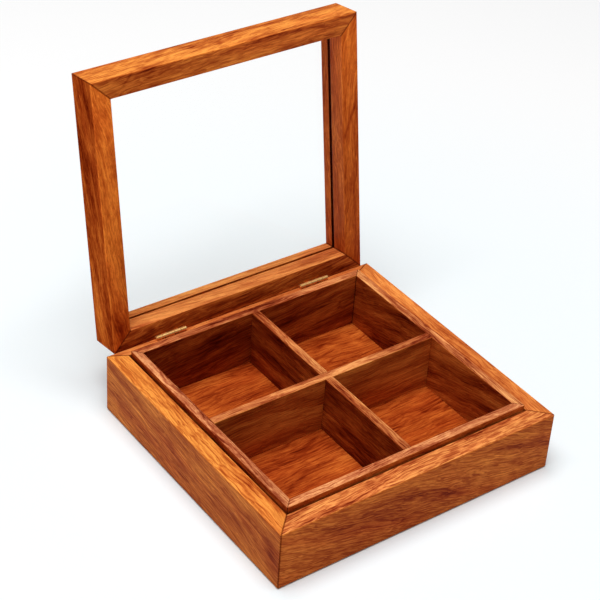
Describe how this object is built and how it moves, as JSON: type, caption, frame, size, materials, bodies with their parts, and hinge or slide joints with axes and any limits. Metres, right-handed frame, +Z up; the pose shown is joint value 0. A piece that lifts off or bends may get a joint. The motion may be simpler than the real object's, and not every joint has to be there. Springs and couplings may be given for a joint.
{
  "type": "wooden spice box",
  "caption": "Square wooden spice box with divided compartments and a framed clear lid on butt hinges along the back.",
  "frame": {"origin": "centre of the base's underside, on the surface that the box stands on", "axes": "+Z up, +Y towards the hinge side (the back), +X along the front board to the right"},
  "size_m": [0.205, 0.2407, 0.2207],
  "materials": {
    "frame_wood": "satin lacquer",
    "inner_wood": "satin lacquer",
    "pane": "clear",
    "brass": "polished"
  },
  "bodies": {
    "base": {"base_front_board": "frame_wood", "base_back_board": "frame_wood", "base_left_board": "frame_wood", "base_right_board": "frame_wood", "base_bottom_panel": "inner_wood", "liner_front_board": "inner_wood", "liner_back_board": "inner_wood", "liner_left_board": "inner_wood", "liner_right_board": "inner_wood", "divider_left_to_right": "inner_wood", "divider_front_to_back": "inner_wood", "hinge_left_base_leaf": "brass", "hinge_left_pin": "brass", "hinge_left_base_nails": "brass", "hinge_right_base_leaf": "brass", "hinge_right_pin": "brass", "hinge_right_base_nails": "brass"},
    "lid": {"lid_front_rail": "frame_wood", "lid_hinge_rail": "frame_wood", "lid_left_rail": "frame_wood", "lid_right_rail": "frame_wood", "lid_window_pane": "pane", "hinge_left_lid_leaf": "brass", "hinge_left_lid_nails": "brass", "hinge_right_lid_leaf": "brass", "hinge_right_lid_nails": "brass"}
  },
  "joints": [
    {"name": "lid_hinge", "type": "hinge", "parent": "base", "child": "lid", "pos_m": [0, 0.0937, 0.0439], "axis": [1, 0, 0], "range_deg": [0, 98.5]}
  ]
}
